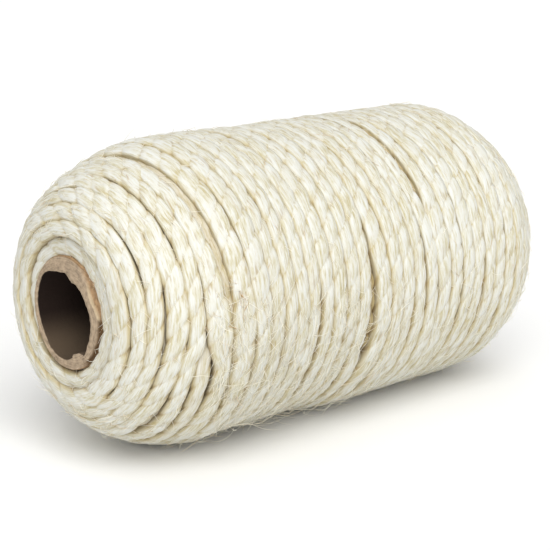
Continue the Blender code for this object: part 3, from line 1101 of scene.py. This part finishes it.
def loose_fibre_material(settings):
    """Loose sisal fibre: one stiff, waxy, half-glossy hair, pale cream or stained brown."""
    material, tree, shader = new_material("loose_sisal_fibre", 0.5, specular=0.4)
    add = functools.partial(add_node, tree)
    # The colour changes a little every 4 mm along a fibre.
    drift = add(NOISE, add("ShaderNodeTexCoord", output="Object"), named={"Scale": 250.0, "Detail": 1.0})
    brown = add(ATTRIBUTE, attribute_name="tone", output="Fac")
    colour = add(COLOUR_RAMP, add("MULTIPLY_ADD", drift, 0.5, brown))
    colour_ramp(colour, [(0.33, settings.pale), (0.9, settings.brown)])
    tree.links.new(colour, shader.inputs["Base Color"])
    return material


def cardboard_material(settings):
    """Wound grey-brown cardboard: soft recycled fibre, quite matt, with an orange-brown
    kraft ply outside, and the bore painted dark as shade."""
    material, tree, shader = new_material("wound_cardboard", 0.9, specular=0.2)
    add = functools.partial(add_node, tree)

    place = add("ShaderNodeTexCoord", output="Object")
    # Recycled fibre mottles the surface every 1.5 mm, with faint darker specks 0.7 mm wide.
    mottle = add(NOISE, place, named={"Scale": 650.0, "Detail": 4.0})
    specks = add(NOISE, place, named={"Scale": 1400.0, "Detail": 1.0})
    # The plies show as fine lines round the cut, 0.4 mm apart.
    through, around = (add(ATTRIBUTE, attribute_name=name, output="Fac") for name in ("through", "around"))
    plies_at = add(COMBINE, add("MULTIPLY", through, 2.4), add("MULTIPLY", around, 0.16))
    plies = add(NOISE, plies_at, named={"Scale": 1.0, "Detail": 2.0}, noise_dimensions="2D")
    lined = add("MULTIPLY_ADD", specks, 0.15, add("MULTIPLY", plies, 0.3))
    colour = add(COLOUR_RAMP, add("MULTIPLY_ADD", mottle, 0.55, lined))
    colour_ramp(colour, [(position, shaded(settings.cardboard, share))
                         for position, share in ((0.36, 0.55), (0.47, 0.84), (0.62, 1.10))])
    kraft = add(COLOUR_RAMP, mottle)
    colour_ramp(kraft, [(0.35, shaded(settings.kraft, 0.62)), (0.62, settings.kraft)])
    looks = {"ply": kraft, "scuff": settings.painted_mouth_shade_colour, "lip": settings.lip, "bore": settings.bore,
             "dust": settings.dust}
    # Of these looks, the scuffed ply and the bore are painted shade, the dust is painted light, and the lip
    # is partly a painted highlight.
    for name in TUBE_LOOKS:
        colour = add(MIX, data_type="RGBA", output="Result", named={
            "Factor": add(ATTRIBUTE, attribute_name=name, output="Fac"), "A": colour, "B": looks[name]})
    tree.links.new(colour, shader.inputs["Base Color"])
    bump = add("ShaderNodeBump", named={"Height": mottle, "Strength": 0.6, "Distance": 0.3 * MM})
    tree.links.new(bump, shader.inputs["Normal"])
    return material


# ---------------------------------------------------------------- the stage

def lay_floor(settings):
    """A floor of white paper: matt and even."""
    corners = [(x * FLOOR_REACH, y * FLOOR_REACH, 0) for x, y in ((-1, -1), (1, -1), (1, 1), (-1, 1))]
    floor = new_piece("floor", corners, faces=[(0, 1, 2, 3)])
    paper, _, shader = new_material("white_paper_floor", 0.9)
    shader.inputs["Base Color"].default_value = settings.floor
    floor.data.materials.append(paper)


def fill_with_light(scene, settings):
    """White all round. It lights the roll less strongly than it shows behind it."""
    world = bpy.data.worlds.new("studio_fill")
    world.use_nodes = True
    background = world.node_tree.nodes["Background"]
    background.inputs["Color"].default_value = (1.0, 1.0, 1.0, 1.0)
    seen = add_node(world.node_tree, "ShaderNodeLightPath", output="Is Camera Ray")
    strength = add_node(world.node_tree, MAP_RANGE, seen, 0.0, 1.0, settings.fill, 1.0)
    world.node_tree.links.new(strength, background.inputs["Strength"])
    scene.world = world


def hang_lights(scene, settings):
    """Broad, soft lights, each of which shines on the roll from its own side."""
    for row in LIGHTS:
        light = bpy.data.lights.new(row["light"], "SUN")
        light.energy = getattr(settings, row["light"])
        light.angle = settings.spread
        lamp = bpy.data.objects.new(row["light"], light)
        scene.collection.objects.link(lamp)
        lamp.rotation_euler = Vector(row["towards"]).to_track_quat("Z", "Y").to_euler()


def place_camera(scene):
    """The camera, which looks at the near end and the front from a little above."""
    azimuth, elevation = CAMERA["azimuth"], CAMERA["elevation"]
    back = Vector((math.sin(azimuth) * math.cos(elevation), -math.cos(azimuth) * math.cos(elevation),
                   math.sin(elevation)))
    right = Vector((math.cos(azimuth), math.sin(azimuth), 0.0))
    up = back.cross(right)
    centre = Vector((0.0, 0.0, AXIS_Z))
    lens = bpy.data.cameras.new("camera")
    for name, value in LENS.items():
        setattr(lens, name, value)
    camera = bpy.data.objects.new("camera", lens)
    scene.collection.objects.link(camera)
    camera.location = centre + back * CAMERA["distance"]
    aim = centre - right * AIM_LEFT - up * AIM_DOWN
    camera.rotation_euler = (camera.location - aim).to_track_quat("Z", "Y").to_euler()
    scene.camera = camera


# ---------------------------------------------------------------- operators

class ROLL_OT_make_stage(bpy.types.Operator):
    """Sets the floor, the soft light and the camera"""
    bl_idname = "roll.make_stage"
    bl_label = "Stage"

    def execute(self, context):
        scene = context.scene
        scene.view_settings.view_transform = "Standard"
        lay_floor(scene.roll_stage)
        fill_with_light(scene, scene.roll_stage)
        hang_lights(scene, scene.roll_stage)
        place_camera(scene)
        return {"FINISHED"}


class ROLL_OT_make_tube(bpy.types.Operator):
    """Makes the cardboard tube, with its crushed and torn near mouth"""
    bl_idname = "roll.make_tube"
    bl_label = "Cardboard tube"

    def execute(self, context):
        settings = context.scene.roll_tube
        angle, rings = tube_rings(settings.wall, seed=41)
        around = np.stack([-np.sin(angle), np.cos(angle)], axis=1)
        vertices = np.concatenate([
            np.column_stack([ring["x"], ring["radius"][:, None] * around]) for ring in rings])
        vertices[:, 2] += AXIS_Z
        faces = []
        for i in range(len(rings)):
            a, b = i * TUBE_POINTS, (i + 1) % len(rings) * TUBE_POINTS
            for j in range(TUBE_POINTS):
                k = (j + 1) % TUBE_POINTS
                faces.append((a + j, b + j, b + k, a + k))
        tube = new_piece("cardboard_tube", vertices, faces=faces)
        columns = {name: np.concatenate([ring[name] for ring in rings]) for name in TUBE_LOOKS}
        columns["through"] = np.concatenate([ring["radius"] for ring in rings]) / MM
        columns["around"] = np.tile(angle * TUBE_HALF_WIDTH / MM, len(rings))
        store_columns(tube.data, columns)
        rework_faces(tube.data, lambda bm: bmesh.ops.recalc_face_normals(bm, faces=bm.faces))
        tube.data.materials.append(cardboard_material(settings))
        finish_piece(tube, "cardboard", "core_tube")
        return {"FINISHED"}


class ROLL_OT_wind_rope(bpy.types.Operator):
    """Winds the outer layer of rope, in runs of turns from the near end to the far end"""
    bl_idname = "roll.wind_rope"
    bl_label = "Outer rope"

    def execute(self, context):
        settings = context.scene.roll_rope
        sisal = sisal_material(settings)
        tree = three_strand_rope_tree()
        path = wind_outer_path(settings.diameter / 2)
        first = path["turn"][0]
        for row in ROPE_RUNS:
            last = min(row["last_turn"], path["turn"][-1])
            stretch = cut_path(path, first, last, row["step"])
            lay_rope(row, stretch, settings, tree, sisal, settings.snugness, GROUND, seed=31)
            first = last
        return {"FINISHED"}


class ROLL_OT_wind_inner_layer(bpy.types.Operator):
    """Winds the layer of rope that shows through the gaps between the outer turns"""
    bl_idname = "roll.wind_inner_layer"
    bl_label = "Inner layer"

    def execute(self, context):
        settings = context.scene.roll_rope
        sisal = bpy.data.materials["twisted_sisal_fibre"]
        tree = bpy.data.node_groups["three_strand_rope"]
        path = wind_inner_path(settings.diameter / 2 + settings.layer_depth, settings.layer_spacing)
        stretch = cut_path(path, path["turn"][0], path["turn"][-1], INNER_RUN["step"])
        lay_rope(INNER_RUN, stretch, settings, tree, sisal, settings.inner_snugness, INNER_GROUND, seed=57)
        return {"FINISHED"}


class ROLL_OT_add_loose_fibres(bpy.types.Operator):
    """Adds the loose fibres that stand off the rope"""
    bl_idname = "roll.add_loose_fibres"
    bl_label = "Loose fibres"

    def execute(self, context):
        settings = context.scene.roll_fibres
        radius = context.scene.roll_rope.diameter / 2
        lines, tone, size = loose_fibre_lines(wind_outer_path(radius), radius, seed=23)
        starts = range(0, len(lines) * FIBRE_POINTS, FIBRE_POINTS)
        edges = [(start + i, start + i + 1) for start in starts for i in range(FIBRE_POINTS - 1)]
        piece = new_piece("loose_fibres", lines.reshape(-1, 3), edges=edges)
        store_columns(piece.data, {"tone": tone, "size": size})
        apply_geometry_nodes(piece, loose_fibre_tree(), {
            "Thickness": settings.thickness, "Material": loose_fibre_material(settings)})
        piece.data.attributes.remove(piece.data.attributes["size"])
        finish_piece(piece, "sisal")
        return {"FINISHED"}


class ROLL_PT_panel(bpy.types.Panel):
    """Sizes, colours and steps of the rope roll"""
    bl_idname = "ROLL_PT_panel"
    bl_label = "Rope roll"
    bl_space_type = "VIEW_3D"
    bl_region_type = "UI"
    bl_category = "Rope Roll"

    def draw(self, context):
        layout = self.layout
        for group in (context.scene.roll_rope, context.scene.roll_fibres, context.scene.roll_tube,
                      context.scene.roll_stage):
            box = layout.box()
            for name in group.bl_rna.properties.keys():
                if name not in ("rna_type", "name"):
                    box.prop(group, name)
        for operator in OPERATORS:
            layout.operator(operator.bl_idname)


OPERATORS = (ROLL_OT_make_stage, ROLL_OT_make_tube, ROLL_OT_wind_rope, ROLL_OT_wind_inner_layer,
             ROLL_OT_add_loose_fibres)
SETTINGS = {"roll_rope": RopeSettings, "roll_fibres": FibreSettings, "roll_tube": TubeSettings,
            "roll_stage": StageSettings}


def register():
    for cls in (*SETTINGS.values(), *OPERATORS, ROLL_PT_panel):
        bpy.utils.register_class(cls)
    for name, settings in SETTINGS.items():
        setattr(bpy.types.Scene, name, bpy.props.PointerProperty(type=settings))


def unregister():
    for name in SETTINGS:
        delattr(bpy.types.Scene, name)
    for cls in (ROLL_PT_panel, *reversed(OPERATORS), *SETTINGS.values()):
        bpy.utils.unregister_class(cls)


def main():
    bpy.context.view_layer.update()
    register()
    bpy.ops.roll.make_stage()
    bpy.ops.roll.make_tube()
    bpy.ops.roll.wind_rope()
    bpy.ops.roll.wind_inner_layer()
    bpy.ops.roll.add_loose_fibres()


if __name__ == "__main__":
    main()
